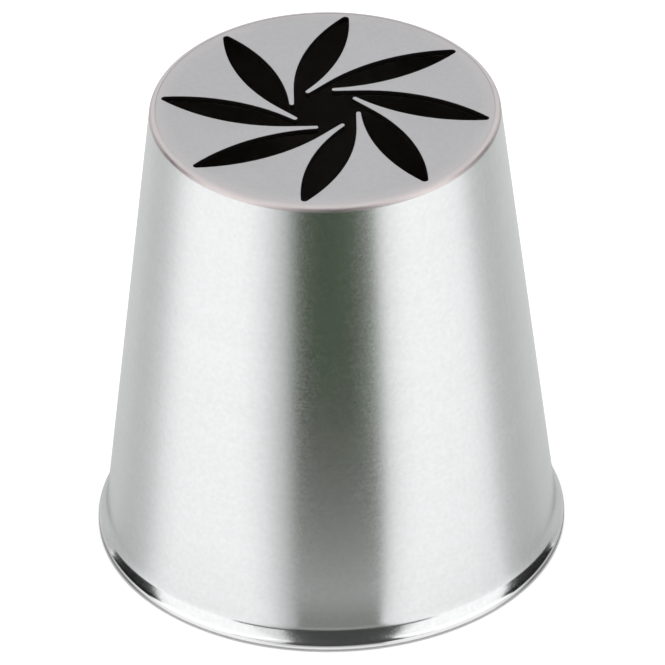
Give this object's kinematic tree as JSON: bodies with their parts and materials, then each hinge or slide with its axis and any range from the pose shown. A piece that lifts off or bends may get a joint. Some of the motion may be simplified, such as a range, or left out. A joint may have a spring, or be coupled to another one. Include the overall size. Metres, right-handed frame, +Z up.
{
  "type": "piping nozzle",
  "caption": "Large tapered steel piping nozzle with a rolled rim and a flat front plate cut by spiralling petal slots that meet in the middle.",
  "frame": {"origin": "on the cone's axis, in the plane that the rolled rim stands on", "axes": "+Z up along the cone's axis, from the rolled rim to the front plate; -Y towards the picture's viewer"},
  "size_m": [0.0336, 0.0336, 0.0356],
  "materials": {
    "wall_steel": "satin wall turned round its axis, bead polished bright",
    "plate_steel": "even matte grey with a fine grain",
    "weld_steel": "ground round and polished, faintly warm"
  },
  "bodies": {
    "root": {"cone_shell": "wall_steel", "face_plate": "plate_steel", "weld_ring": "weld_steel"}
  },
  "joints": []
}
